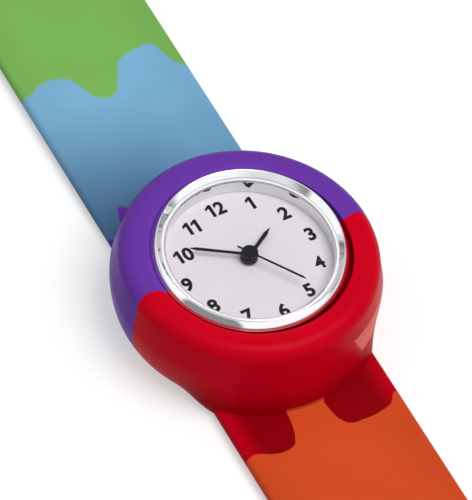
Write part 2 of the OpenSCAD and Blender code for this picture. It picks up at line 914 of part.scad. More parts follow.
module hour_wheel() {
    wheel_size = mesh_module(motion_distance, minute_pinion_teeth, hour_teeth);
    color("gold")
        difference() {
            union() {
                translate([0, 0, hour_wheel_z])
                    disc(hour_tube_radius, hour_hub_z + hub_height - arbor_play - hour_wheel_z);
                translate([0, 0, hour_wheel_z])
                    toothed(hour_teeth, wheel_size, motion_thickness, motion_direction);
            }
            arbor_hole([0, 0], hour_wheel_z, minute_hub_z, centre_tube_radius + arbor_play);
        }
}

// Length of a hand's point and half width of its tail, as shares of its width
point_share = 2.2;
tail_half_share = 0.4;

// A hand: a hub on its tube and a straight blade that ends in a point
module hand(length, width, tail, hub_radius, hub_z, bore, bore_top) {
    point = point_share * width;
    tail_half = tail_half_share * width;
    difference() {
        union() {
            translate([0, 0, hub_z])
                disc(hub_radius, hub_height, large_sides);
            translate([0, 0, hub_z + hub_height / 2])
                linear_extrude(hand_thickness)
                    polygon([
                        [-tail_half, -tail], [tail_half, -tail],
                        [width / 2, length - point], [0, length], [-width / 2, length - point]
                    ]);
        }
        translate([0, 0, hub_z - overrun])
            disc(bore, bore_top - hub_z + overrun);
    }
}

// How far the second hand reaches behind the centre, as a share of its length
second_tail_share = 0.22;

module hour_hand() {
    color("black")
        rotate([0, 0, -hour_angle])
            hand(hour_length, hour_width, 0, hour_hub_radius, hour_hub_z,
                 hour_tube_radius + fit_gap, hour_hub_z + hub_height + overrun);
}

module minute_hand() {
    color("black")
        rotate([0, 0, -minute_angle])
            hand(minute_length, minute_width, 0, minute_hub_radius,
                 minute_hub_z, centre_tube_radius + fit_gap, minute_hub_z + hub_height + overrun);
}

module second_hand() {
    color("black")
        rotate([0, 0, -second_angle])
            hand(second_length, second_width, second_tail_share * second_length, second_hub_radius,
                 second_hub_z, arbor_radius + fit_gap, second_hub_z + hub_height - hub_gap / 2);
}

module stem() {
    inner_share = 0.76;
    stem_inner = inner_share * plate_radius;
    color("silver")
        translate([stem_inner, 0, stem_height])
            rotate([0, 90, 0])
                disc(stem_radius, case_radius + crown_proud - crown_length - stem_inner);
}

module crown() {
    crown_flutes = 20;
    flute_share = 0.07;
    color("silver")
        translate([case_radius + crown_proud - crown_length, 0, stem_height])
            rotate([0, 90, 0])
                linear_extrude(crown_length)
                    polygon([
                        for (k = [0 : 2 * crown_flutes - 1])
                            let (a = 180 * k / crown_flutes)
                            let (r = crown_radius * (1 - (k % 2) * flute_share))
                            [r * cos(a), r * sin(a)]
                    ]);
}

silicone_purple();
silicone_red();
silicone_blue_root();
spring_strip_centre();
upper_blue(1);  // upper_blue_1
upper_blue(2);  // upper_blue_2
upper_green(2);  // upper_green_2
upper_green(3);  // upper_green_3
upper_green(4);  // upper_green_4
upper_green(5);  // upper_green_5
upper_green(6);  // upper_green_6
upper_strip(1);  // upper_strip_1
upper_strip(2);  // upper_strip_2
upper_strip(3);  // upper_strip_3
upper_strip(4);  // upper_strip_4
upper_strip(5);  // upper_strip_5
upper_strip(6);  // upper_strip_6
lower_red(1);  // lower_red_1
lower_orange(1);  // lower_orange_1
lower_orange(2);  // lower_orange_2
lower_orange(3);  // lower_orange_3
lower_orange(4);  // lower_orange_4
lower_orange(5);  // lower_orange_5
lower_orange(6);  // lower_orange_6
lower_strip(1);  // lower_strip_1
lower_strip(2);  // lower_strip_2
lower_strip(3);  // lower_strip_3
lower_strip(4);  // lower_strip_4
lower_strip(5);  // lower_strip_5
lower_strip(6);  // lower_strip_6
case();
crystal();
crystal_gasket();
dial();
movement_ring();
movement_plate();
train_bridge();
coil();
stator();
battery();
case_back();
back_gasket();
hour_hand();
minute_hand();
second_hand();
hour_wheel();
centre_wheel();
fourth_wheel();
third_wheel();
fifth_wheel();
rotor();
minute_wheel();
stem();
crown();
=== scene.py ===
import math
import bpy
from mathutils import Matrix, Vector


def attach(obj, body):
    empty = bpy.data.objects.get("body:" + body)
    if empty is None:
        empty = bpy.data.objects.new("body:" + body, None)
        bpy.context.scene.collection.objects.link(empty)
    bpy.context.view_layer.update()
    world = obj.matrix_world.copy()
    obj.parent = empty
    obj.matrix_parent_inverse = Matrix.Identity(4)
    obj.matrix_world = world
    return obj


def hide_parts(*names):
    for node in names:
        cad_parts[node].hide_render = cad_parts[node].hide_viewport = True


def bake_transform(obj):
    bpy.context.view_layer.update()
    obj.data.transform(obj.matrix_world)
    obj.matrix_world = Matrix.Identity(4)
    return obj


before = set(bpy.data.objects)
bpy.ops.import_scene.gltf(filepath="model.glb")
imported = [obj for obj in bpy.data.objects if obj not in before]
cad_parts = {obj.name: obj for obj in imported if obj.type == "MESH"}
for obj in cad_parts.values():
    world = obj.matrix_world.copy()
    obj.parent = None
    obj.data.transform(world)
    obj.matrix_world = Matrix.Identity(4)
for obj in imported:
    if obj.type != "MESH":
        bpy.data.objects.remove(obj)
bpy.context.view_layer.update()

mm = 0.001
axisGap = 0.02          # mm, radius of the pinhole that a turned shape keeps on its axis
drillLength = 2         # mm
mergeWithin = 0.002     # mm
noiseSpan = {"From Min": 0.3, "From Max": 0.7}      # nearly all of a noise's values lie in here

# Small helpers


def toLinear(hexColour):
    channels = [int(hexColour[i:i + 2], 16) / 255 for i in (0, 2, 4)]
    return [c / 12.92 if c <= 0.04045 else ((c + 0.055) / 1.055) ** 2.4 for c in channels] + [1.0]


def addNode(tree, kind, settings=None, inputs=None):
    # inputs go by name or number, and hold plain values or sockets of other nodes
    node = tree.nodes.new(kind)
    for name, value in (settings or {}).items():
        setattr(node, name, value)
    for key, value in (inputs or {}).items():
        if isinstance(value, bpy.types.NodeSocket):
            tree.links.new(value, node.inputs[key])
        else:
            node.inputs[key].default_value = value
    return node


def newMaterial(name):
    material = bpy.data.materials.new(name)
    material.use_nodes = True
    tree = material.node_tree
    tree.nodes.clear()
    shader = addNode(tree, "ShaderNodeBsdfPrincipled")
    addNode(tree, "ShaderNodeOutputMaterial", None, {"Surface": shader.outputs["BSDF"]})
    return material, tree, shader


def coverWith(piece, material):
    piece.data.materials.clear()
    piece.data.materials.append(material)


def deselectAll():
    if bpy.context.mode != "OBJECT":
        bpy.ops.object.mode_set(mode="OBJECT")
    bpy.ops.object.select_all(action="DESELECT")


def makeActive(piece):
    deselectAll()
    piece.select_set(True)
    bpy.context.view_layer.objects.active = piece


def applyPlace(piece):
    makeActive(piece)
    bpy.ops.object.transform_apply(location=True, rotation=True, scale=True)


def applyModifiers(piece):
    makeActive(piece)
    for modifier in list(piece.modifiers):
        bpy.ops.object.modifier_apply(modifier=modifier.name)


def combine(piece, other, operation):
    # adds another mesh to a piece, or cuts it away, and removes it
    change = piece.modifiers.new("combine", "BOOLEAN")
    change.operation = operation
    change.object = other
    applyModifiers(piece)
    bpy.data.objects.remove(other)


def drillAcross(piece, radius, middle, height, sides):
    # cuts a round hole that lies along x, on both sides of its middle
    deselectAll()
    bpy.ops.mesh.primitive_cylinder_add(vertices=sides, radius=radius * mm, depth=drillLength * mm,
                                        location=(middle * mm, 0, height * mm),
                                        rotation=(0, math.radians(90), 0))
    cutter = bpy.context.active_object
    applyPlace(cutter)
    combine(piece, cutter, "DIFFERENCE")


def clearSelection(piece):
    bpy.ops.object.mode_set(mode="OBJECT")
    for part in (*piece.data.polygons, *piece.data.edges, *piece.data.vertices):
        part.select = False


def selectVerts(piece, test):
    # picks vertices in edit mode by their place
    clearSelection(piece)
    for vert in piece.data.vertices:
        vert.select = test(vert.co)
    bpy.ops.object.mode_set(mode="EDIT")
    bpy.ops.mesh.select_mode(type="VERT")


def selectEdges(piece, test):
    # picks edges in edit mode by the places of their two ends
    clearSelection(piece)
    bpy.ops.object.mode_set(mode="EDIT")
    bpy.ops.mesh.select_mode(type="EDGE")
    bpy.ops.object.mode_set(mode="OBJECT")
    ends = piece.data.vertices
    for edge in piece.data.edges:
        edge.select = test(*(ends[index].co for index in edge.vertices))
    bpy.ops.object.mode_set(mode="EDIT")


def smoothByAngle(piece, degrees):
    makeActive(piece)
    bpy.ops.object.shade_smooth_by_angle(angle=math.radians(degrees), keep_sharp_edges=False)


def fixNormals(piece):
    makeActive(piece)
    bpy.ops.object.mode_set(mode="EDIT")
    bpy.ops.mesh.select_all(action="SELECT")
    bpy.ops.mesh.remove_doubles(threshold=mergeWithin * mm)
    bpy.ops.mesh.normals_make_consistent(inside=False)
    bpy.ops.object.mode_set(mode="OBJECT")


def keepRestPlace(piece):
    # rest place in millimetres, which the silicone's colours follow while it bends
    attribute = piece.data.attributes.new("restPlace", "FLOAT_VECTOR", "POINT")
    for vert in piece.data.vertices:
        attribute.data[vert.index].vector = vert.co / mm


def turnedShape(name, profile, sides):
    # a closed profile of radius and height in millimetres, turned round the dial axis
    deselectAll()
    radius, height = profile[0]
    bpy.ops.mesh.primitive_circle_add(vertices=sides, radius=radius * mm, location=(0, 0, height * mm))
    piece = bpy.context.active_object
    piece.name = piece.data.name = name
    applyPlace(piece)
    bpy.ops.object.mode_set(mode="EDIT")
    bpy.ops.mesh.select_all(action="SELECT")
    for nextRadius, nextHeight in profile[1:] + profile[:1]:
        rise = (0, 0, (nextHeight - height) * mm)
        bpy.ops.mesh.extrude_edges_move(TRANSFORM_OT_translate={"value": rise})
        bpy.ops.transform.resize(value=(nextRadius / radius, nextRadius / radius, 1),
                                 center_override=(0, 0, nextHeight * mm))
        radius, height = nextRadius, nextHeight
    bpy.ops.object.mode_set(mode="OBJECT")
    fixNormals(piece)
    return piece


def arcPoints(centre, radius, startDegrees, endDegrees, steps):
    turn = (endDegrees - startDegrees) / steps
    angles = [math.radians(startDegrees + turn * k) for k in range(steps + 1)]
    return [(centre[0] + radius * math.cos(a), centre[1] + radius * math.sin(a)) for a in angles]


# Camera

cameraSetup = {
    "azimuth": -34.98,            # degrees round the dial axis
    "elevation": 52.5,
    "roll": 8.92,
    "distance": 0.8,              # m
    "focalPixels": 5199.85,       # focal length in pixels of the picture
    "originAcross": 0.000774,     # m, where the dial axis meets the ground, off the picture's centre
    "originUp": -0.008824,
    "longSidePixels": 500,
    "sensorWidth": 36.0,          # mm
    "nearest": 0.01,              # m, the depths that it sees
    "farthest": 20,
}


def placeCamera():
    setup = cameraSetup
    turn, lift, roll = (math.radians(setup[key]) for key in ("azimuth", "elevation", "roll"))
    back = Vector((math.sin(turn) * math.cos(lift), -math.cos(turn) * math.cos(lift), math.sin(lift)))
    right = Vector((math.cos(turn), math.sin(turn), 0))
    up = back.cross(right)
    rolledRight = math.cos(roll) * right + math.sin(roll) * up
    rolledUp = -math.sin(roll) * right + math.cos(roll) * up
    spot = setup["distance"] * back - setup["originAcross"] * rolledRight - setup["originUp"] * rolledUp
    data = bpy.data.cameras.new("camera")
    data.sensor_width = setup["sensorWidth"]
    data.lens = setup["sensorWidth"] * setup["focalPixels"] / setup["longSidePixels"]
    data.clip_start = setup["nearest"]
    data.clip_end = setup["farthest"]
    camera = bpy.data.objects.new("camera", data)
    bpy.context.scene.collection.objects.link(camera)
    camera.matrix_world = Matrix((
        (rolledRight.x, rolledUp.x, back.x, spot.x),
        (rolledRight.y, rolledUp.y, back.y, spot.y),
        (rolledRight.z, rolledUp.z, back.z, spot.z),
        (0, 0, 0, 1)))
    bpy.context.scene.camera = camera


placeCamera()
print("camera placed")

# Silicone colours

siliconeColours = {
    "green": "7CB65A",
    "blue": "7DB3D6",
    "purple": "6836A2",
    "red": "C8001C",
    "orange": "CF4C24",
    "deepRedAndFootShade": "8A000A",          # where the red is thickest, down the band's middle; round the head's foot the same colour is painted shade
    "shadowBlue": "4E7396",         # painted shadow of the head on the blue next to it
    "orangeReflection": "F07462",           # painted reflection of the pale room: pale orange low on the head's red wall
    "lilacReflection": "8E6AAC",           # painted reflection of the pale room: paler purple low on the wall, at its left
    "crease": "EE9A78",           # pale line where the orange tongue ends
}
siliconeSkin = {
    "roughness": (0.28, 0.42),    # at the grain's lowest and highest places
    "specularLevel": 0.045,       # dull moulded skin
    "refraction": 1.41,
    "grainSize": 0.35,            # mm, the sandblasted mould's texture
    "grainDepth": 0.02,           # mm
    "grainStrength": 0.35,
    "cloudSize": 9.0,             # mm, slow changes of pigment
    "cloudShade": (0.96, 1.03),   # how dark and how light these get
    "wobbleSize": 2.5,            # mm, unevenness of the poured colours' edges
    "wobble": 0.1,                # mm
}
# Where the band's colours lie, in mm; of two places, the first is where a soft change begins
bandPaint = {
    "halfWidth": 14,
    "greenSpan": (40, 54),        # heights between which each edge's curve runs
    "purpleSpan": (14, 28),
    "redSpan": (16, 30),
    "softEdge": 0.9,              # width of the blend between the upper arm's colours
    "crispEdge": 0.2,             # and of the one between red and orange
    "shadowAlong": (46, 23),        # painted shadow of the head: the blue darkens towards it
    "shadowAcross": (12, -7, 0.45),     # and towards the left, from this share on the right
    "shadowShare": 0.95,
    "margin": (9.5, 13.4),        # off the middle, where deep red turns clear
    "marginShare": 0.75,
    "paintedEdgeShade": (6, 13),         # off the middle, where painted shade darkens the band
    "paintedEdgeValue": 0.93,
}
# The same for the head; three numbers are from where, up to where and how soft the ends are
headPaint = {
    "halfWidth": 22,              # mm
    "purpleSpan": (-6, 2),
    "softEdge": 0.3,
    "shadowHeight": (7.5, 2.2),     # painted shade: the red darkens down the wall
    "shadowAlong": (-8, -14),       # on the lower arm's side
    "shadowShare": 0.8,
    "outside": (15.8, 16.4),      # radius from which the painted reflections show, not in the pocket
    "wanderSize": 11.0,           # mm, size of the waves in the painted reflections' edges
    "wanderHigh": 0.3,            # mm
    "wanderRound": 0.02,          # radians
    "orangeReflectionHeight": (6.3, 10.5, 0.4),
    "orangeReflectionTurn": (-1.3, -0.55, 0.05),     # radians round the dial axis
    "orangeReflectionSlant": 39,            # mm for a radian: its left end runs up to a point
    "orangeReflectionPoint": (-34.3, -33.5),
    "orangeReflectionShare": 0.85,
    "lilacReflectionHeight": (5.0, 9.0, 2.5),
    "lilacReflectionTurn": (2.45, 3.05, 0.5),
    "lilacReflectionShare": 0.5,
    "tongueAcross": (-3.9, 2.4, 0.3),
    "tongueAlong": (-40.0, -16.0, 1.0),
    "tongueHeight": (-1.0, 2.75, 0.3),
    "tongueShare": 0.8,
    "creaseHeight": (-1.0, 2.25, 0.08),
    "creaseShare": 0.6,
}
pigment = {name: toLinear(hexColour) for name, hexColour in siliconeColours.items()}

# Edges between the colours, in mm across the band and along it
greenEdge = [(-13.9, 48.4), (-12, 48.6), (-10.5, 49.7), (-8.3, 50.2), (-5.8, 49.7), (-4.4, 48.3),
             (-3.5, 46.0), (-2.7, 44.5), (-1.5, 43.7), (-0.1, 43.6), (1.1, 44.6), (2.8, 47.6),
             (4, 49.6), (5.3, 50.2), (7.5, 50.6), (9.6, 50.7), (10.7, 49.7), (11.2, 47.9),
             (11.8, 46), (13, 44.6), (13.9, 44)]
redEdge = [(-13.9, 27.2), (-13, 26.9), (-12, 26.7), (-9.85, 27.5), (-7.5, 27.95), (-5.9, 27.6),
           (-4.9, 26.3), (-4.3, 24.6), (-4.05, 23.4), (-3.8, 21.6), (-3.6, 20), (2, 20), (2.3, 22.2),
           (2.5, 24), (3.3, 26.4), (4.35, 27.3), (6.5, 27.55), (9.15, 27.4), (11.4, 26.8),
           (12.8, 25.2), (13.4, 25.05), (13.9, 25)]
purpleEdge = [(-13.9, 18.7), (-13.3, 18.3), (-12.4, 17.2), (-11.2, 18.4), (-10.3, 21.6), (-9.3, 23.5),
              (-8.4, 23.1), (-7.4, 20.1), (0, 21.1), (7.4, 20.1), (8.3, 21.2), (9.2, 22.2),
              (10.1, 20.6), (11.2, 18.1), (12.4, 17.2), (13.9, 17.8)]
headEdge = [(-22, -3.6), (-21.5, -3.4), (-20.2, -2), (-18.5, -1.2), (-16.6, -1.2), (-15.1, -2.1),
            (-13, -2.2), (13, -0.8), (15.6, -0.6), (16.8, -0.5), (18.5, -0.4), (20.2, -1.2),
            (21, -1.6), (22, -1.2)]


def pastEdge(tree, across, along, points, halfWidth, span):
    # how far a place lies past a colour's edge, whose height follows a curve across the piece
    low, high = span
    share = addNode(tree, "ShaderNodeMapRange", None, {
        "Value": across, "From Min": -halfWidth, "From Max": halfWidth})
    curveNode = addNode(tree, "ShaderNodeFloatCurve", None, {"Value": share.outputs["Result"]})
    curve = curveNode.mapping.curves[0]
    places = [((x + halfWidth) / (2 * halfWidth), (y - low) / (high - low)) for x, y in points]
    curve.points[0].location = places[0]
    curve.points[1].location = places[-1]
    for place in places[1:-1]:
        curve.points.new(*place)
    curveNode.mapping.update()
    edge = addNode(tree, "ShaderNodeMapRange", None, {
        "Value": curveNode.outputs["Value"], "To Min": low, "To Max": high})
    past = addNode(tree, "ShaderNodeMath", {"operation": "SUBTRACT"}, {
        0: along, 1: edge.outputs["Result"]})
    return past.outputs[0]


def between(value, low, high, softness):
    # two masks: a value from low on, and up to high, each with a soft end
    return [(value, low - softness / 2, low + softness / 2),
            (value, high + softness / 2, high - softness / 2)]


def paintOver(tree, under, over, share, masks):
    # lays one colour over another; a mask is a value, where its smooth ramp begins and where it ends,
    # and its least share where that isn't 0
    for value, start, end, *least in masks:
        ramp = addNode(tree, "ShaderNodeMapRange", {"interpolation_type": "SMOOTHSTEP"}, {
            "Value": value, "From Min": start, "From Max": end, "To Min": least[0] if least else 0.0})
        masked = addNode(tree, "ShaderNodeMath", {"operation": "MULTIPLY"}, {
            0: share, 1: ramp.outputs["Result"]})
        share = masked.outputs[0]
    mix = addNode(tree, "ShaderNodeMix", {"data_type": "RGBA"}, {0: share, 6: under, 7: over})
    return mix.outputs[2]


def restCoordinates(tree):
    # rest place in mm, and its x, y and z with the edges' small wobble in them
    place = addNode(tree, "ShaderNodeAttribute", {"attribute_name": "restPlace"})
    wobble = addNode(tree, "ShaderNodeTexNoise", None, {
        "Vector": place.outputs["Vector"], "Scale": 1 / siliconeSkin["wobbleSize"], "Detail": 1.0})
    centred = addNode(tree, "ShaderNodeVectorMath", {"operation": "SUBTRACT"}, {
        0: wobble.outputs["Color"], 1: (0.5, 0.5, 0.5)})
    moved = addNode(tree, "ShaderNodeVectorMath", {"operation": "MULTIPLY_ADD"}, {
        0: centred.outputs[0], 1: (2 * siliconeSkin["wobble"],) * 3, 2: place.outputs["Vector"]})
    split = addNode(tree, "ShaderNodeSeparateXYZ", None, {"Vector": moved.outputs[0]})
    return place.outputs["Vector"], *split.outputs


def finishSilicone(tree, shader, place, colour):
    # liquid silicone from a sandblasted mould: even colour, faint clouding, dull broad highlights
    skin = siliconeSkin
    cloud = addNode(tree, "ShaderNodeTexNoise", None, {
        "Vector": place, "Scale": 1 / skin["cloudSize"], "Detail": 2.0})
    shade = addNode(tree, "ShaderNodeMapRange", None, {
        **noiseSpan, "Value": cloud.outputs[0],
        "To Min": skin["cloudShade"][0], "To Max": skin["cloudShade"][1]})
    tinted = addNode(tree, "ShaderNodeHueSaturation", None, {
        "Color": colour, "Value": shade.outputs["Result"]})
    tree.links.new(tinted.outputs["Color"], shader.inputs["Base Color"])
    grain = addNode(tree, "ShaderNodeTexNoise", None, {
        "Vector": place, "Scale": 1 / skin["grainSize"], "Detail": 3.0, "Roughness": 0.6})
    rough = addNode(tree, "ShaderNodeMapRange", None, {
        **noiseSpan, "Value": grain.outputs[0],
        "To Min": skin["roughness"][0], "To Max": skin["roughness"][1]})
    tree.links.new(rough.outputs["Result"], shader.inputs["Roughness"])
    bump = addNode(tree, "ShaderNodeBump", None, {
        "Height": grain.outputs[0], "Strength": skin["grainStrength"],
        "Distance": skin["grainDepth"] * mm})
    tree.links.new(bump.outputs["Normal"], shader.inputs["Normal"])
    shader.inputs["IOR"].default_value = skin["refraction"]
    shader.inputs["Specular IOR Level"].default_value = skin["specularLevel"]


def bandSilicone():
    paint = bandPaint
    material, tree, shader = newMaterial("mouldedSiliconeBand")
    place, across, along = restCoordinates(tree)[:3]
    down = addNode(tree, "ShaderNodeMath", {"operation": "MULTIPLY"}, {0: along, 1: -1})
    offMiddle = addNode(tree, "ShaderNodeMath", {"operation": "ABSOLUTE"}, {0: across})
    half, soft, crisp = paint["halfWidth"], paint["softEdge"] / 2, paint["crispEdge"] / 2
    pastGreen = pastEdge(tree, across, along, greenEdge, half, paint["greenSpan"])
    pastPurple = pastEdge(tree, across, along, purpleEdge, half, paint["purpleSpan"])
    pastRed = pastEdge(tree, across, down.outputs[0], redEdge, half, paint["redSpan"])
    # painted shadow of the head laid over the blue, stronger towards the left
    blueWithShadow = paintOver(tree, pigment["blue"], pigment["shadowBlue"], paint["shadowShare"],
                         [(along, *paint["shadowAlong"]), (across, *paint["shadowAcross"])])
    upper = paintOver(tree, pigment["purple"], blueWithShadow, 1.0, [(pastPurple, -soft, soft)])
    upper = paintOver(tree, upper, pigment["green"], 1.0, [(pastGreen, -soft, soft)])
    redTone = paintOver(tree, pigment["deepRedAndFootShade"], pigment["red"], paint["marginShare"],
                        [(offMiddle.outputs[0], *paint["margin"])])
    lower = paintOver(tree, redTone, pigment["orange"], 1.0, [(pastRed, -crisp, crisp)])
    isUpper = addNode(tree, "ShaderNodeMath", {"operation": "GREATER_THAN"}, {0: along, 1: 0})
    arms = addNode(tree, "ShaderNodeMix", {"data_type": "RGBA"}, {
        0: isUpper.outputs[0], 6: lower, 7: upper})
    # painted shade: the band gets darker towards its edges
    shade = addNode(tree, "ShaderNodeMapRange", {"interpolation_type": "SMOOTHSTEP"}, {
        "Value": offMiddle.outputs[0], "From Min": paint["paintedEdgeShade"][0],
        "From Max": paint["paintedEdgeShade"][1], "To Min": 1.0, "To Max": paint["paintedEdgeValue"]})
    toned = addNode(tree, "ShaderNodeHueSaturation", None, {
        "Color": arms.outputs[2], "Value": shade.outputs["Result"]})
    finishSilicone(tree, shader, place, toned.outputs["Color"])
    return material


def headSilicone():
    paint = headPaint
    material, tree, shader = newMaterial("mouldedSiliconeHead")
    place, across, along, height = restCoordinates(tree)
    past = pastEdge(tree, across, along, headEdge, paint["halfWidth"], paint["purpleSpan"])
    soft = paint["softEdge"] / 2
    colour = paintOver(tree, pigment["red"], pigment["purple"], 1.0, [(past, -soft, soft)])
    # painted shade: the red darkens down the wall towards the foot, on the lower arm's side
    colour = paintOver(tree, colour, pigment["deepRedAndFootShade"], paint["shadowShare"],
                       [(height, *paint["shadowHeight"]), (along, *paint["shadowAlong"])])
    # painted reflections of the pale room low on the wall: a pale orange one on the red side and a paler
    # purple one at the left
    turn = addNode(tree, "ShaderNodeMath", {"operation": "ARCTAN2"}, {0: along, 1: across})
    wander = addNode(tree, "ShaderNodeTexNoise", None, {
        "Vector": place, "Scale": 1 / paint["wanderSize"], "Detail": 0.0})
    shift = addNode(tree, "ShaderNodeMapRange", {"interpolation_type": "SMOOTHSTEP"}, {
        **noiseSpan, "Value": wander.outputs[0], "To Min": -1.0, "To Max": 1.0})
    wavyHeight = addNode(tree, "ShaderNodeMath", {"operation": "MULTIPLY_ADD"}, {
        0: shift.outputs["Result"], 1: paint["wanderHigh"], 2: height}).outputs[0]
    wavyTurn = addNode(tree, "ShaderNodeMath", {"operation": "MULTIPLY_ADD"}, {
        0: shift.outputs["Result"], 1: paint["wanderRound"], 2: turn.outputs[0]}).outputs[0]
    slant = addNode(tree, "ShaderNodeMath", {"operation": "MULTIPLY_ADD"}, {
        0: wavyTurn, 1: paint["orangeReflectionSlant"], 2: wavyHeight})
    flat = addNode(tree, "ShaderNodeCombineXYZ", None, {"X": across, "Y": along})
    radius = addNode(tree, "ShaderNodeVectorMath", {"operation": "LENGTH"}, {0: flat.outputs[0]})
    outside = [(radius.outputs["Value"], *paint["outside"])]
    # painted reflection, pale orange on the red wall
    colour = paintOver(tree, colour, pigment["orangeReflection"], paint["orangeReflectionShare"],
                       outside + between(wavyHeight, *paint["orangeReflectionHeight"])
                       + between(wavyTurn, *paint["orangeReflectionTurn"])
                       + [(slant.outputs[0], *paint["orangeReflectionPoint"])])
    # painted reflection, paler purple on the left wall
    colour = paintOver(tree, colour, pigment["lilacReflection"], paint["lilacReflectionShare"],
                       outside + between(wavyHeight, *paint["lilacReflectionHeight"])
                       + between(wavyTurn, *paint["lilacReflectionTurn"]))
    # the orange tongue runs a little way up the sweep, and a pale line marks the crease
    tongue = between(across, *paint["tongueAcross"]) + between(along, *paint["tongueAlong"])
    for key in ("tongue", "crease"):
        tone = pigment["orange" if key == "tongue" else "crease"]
        colour = paintOver(tree, colour, tone, paint[key + "Share"],
                           tongue + between(height, *paint[key + "Height"]))
    finishSilicone(tree, shader, place, colour)
    return material


bandMaterial = bandSilicone()
headMaterial = headSilicone()
print("silicone mixed")

# Band: one sleeve over each bend line, from the middle of one section to the middle of the next

band = {
    "halfWidth": 13.7,        # mm
    "thickness": 2.1,
    "bow": 0.5,               # how far the edges stand above the middle
    "edgeRound": 0.98,
    "edgeSegments": 4,
    "firstBend": 22.6,
    "pitch": 15.4,
    "sections": 6,
    "rootStart": 9.0,         # hidden in the head
    "tipRadius": 11.0,
    "tipSegments": 14,
    "columns": 20,
    "rowLength": 0.7,
    "bendReach": 5.0,         # half the length over which a bend line is rounded
    "rootReach": 0.6,         # the root stays still up to the head's sweep
    "smoothAngle": 50,        # degrees
    "slack": 0.01,            # mm, room when vertices are picked by their place
    "chordSlack": 0.12,       # the same on the tip's arc, which is made of chords
    "shortest": 0.001,        # shorter edges aren't rounded
}


def bowRise(x):
    return band["bow"] * (x / band["halfWidth"]) ** 2


def bandSleeve(name, yStart, yEnd, isTip):
    # a flat blank, cut into rows and columns, bowed across, thickened and rounded along its edges
    b = band
    width, length = 2 * b["halfWidth"], yEnd - yStart
    deselectAll()
    bpy.ops.mesh.primitive_plane_add(size=1, location=(0, (yStart + yEnd) / 2 * mm, 0))
    piece = bpy.context.active_object
    piece.name = piece.data.name = name
    piece.scale = (width * mm, length * mm, 1)
    applyPlace(piece)
    if isTip:
        selectVerts(piece, lambda co: co.y > (yEnd - b["slack"]) * mm)
        bpy.ops.mesh.bevel(offset=b["tipRadius"] * mm, segments=b["tipSegments"], affect="VERTICES")
    bpy.ops.object.mode_set(mode="EDIT")
    rows = max(2, round(length / b["rowLength"]))
    cuts = [(((-0.5 + k / b["columns"]) * width * mm, 0, 0), (1, 0, 0)) for k in range(1, b["columns"])]
    cuts += [((0, (yStart + length * k / rows) * mm, 0), (0, 1, 0)) for k in range(1, rows)]
    for spot, direction in cuts:
        bpy.ops.mesh.select_all(action="SELECT")
        bpy.ops.mesh.bisect(plane_co=spot, plane_no=direction)
    bpy.ops.object.mode_set(mode="OBJECT")
    solid = piece.modifiers.new("wall", "SOLIDIFY")
    solid.thickness = b["thickness"] * mm
    solid.offset = 1
    applyModifiers(piece)
    cornerX, cornerY = b["halfWidth"] - b["tipRadius"], yEnd - b["tipRadius"]

    def onRim(co):
        x, y = abs(co.x) / mm, co.y / mm
        if x > b["halfWidth"] - b["slack"]:
            return True
        if not isTip or y < cornerY - b["slack"]:
            return False
        onArc = math.hypot(x - cornerX, y - cornerY) > b["tipRadius"] - b["chordSlack"]
        return y > yEnd - b["slack"] or (x > cornerX and onArc)

    def longRim(one, other):
        isFlat = abs(one.z - other.z) < b["slack"] * mm
        return isFlat and onRim(one) and onRim(other) and (one - other).length > b["shortest"] * mm

    selectEdges(piece, longRim)
    bpy.ops.mesh.bevel(offset=b["edgeRound"] * mm, segments=b["edgeSegments"], affect="EDGES",
                       clamp_overlap=True)
    bpy.ops.object.mode_set(mode="OBJECT")
    for vert in piece.data.vertices:
        vert.co.z += bowRise(vert.co.x / mm) * mm
    fixNormals(piece)
    smoothByAngle(piece, b["smoothAngle"])
    return piece


def sectionNodes(arm, index):
    # the coloured solids of one bending section, without its length of the strip
    return [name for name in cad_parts
            if name.startswith(arm + "_") and name.endswith(f"_{index}") and "strip" not in name]


def makeArm(arm, side):
    for k in range(band["sections"] + 1):
        bend = band["firstBend"] + k * band["pitch"]
        isTip = k == band["sections"]
        start = band["rootStart"] if k == 0 else bend - band["pitch"] / 2
        end = bend if isTip else bend + band["pitch"] / 2
        piece = bandSleeve(f"{arm}Sleeve{k + 1}", start, end, isTip)
        if side < 0:
            makeActive(piece)
            bpy.ops.object.mode_set(mode="EDIT")
            bpy.ops.mesh.select_all(action="SELECT")
            bpy.ops.transform.resize(value=(1, -1, 1), center_override=(0, 0, 0))
            bpy.ops.mesh.normals_make_consistent(inside=False)
            bpy.ops.object.mode_set(mode="OBJECT")
        keepRestPlace(piece)
        coverWith(piece, bandMaterial)
        if isTip:
            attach(piece, f"{arm}_{band['sections']}")
            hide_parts(*sectionNodes(arm, band["sections"]))
        else:
            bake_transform(piece)
            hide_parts(*sectionNodes(arm, k + 1))


makeArm("upper", 1)
makeArm("lower", -1)
print("band made")

# Head: a turned cup of silicone with the pocket for the watch

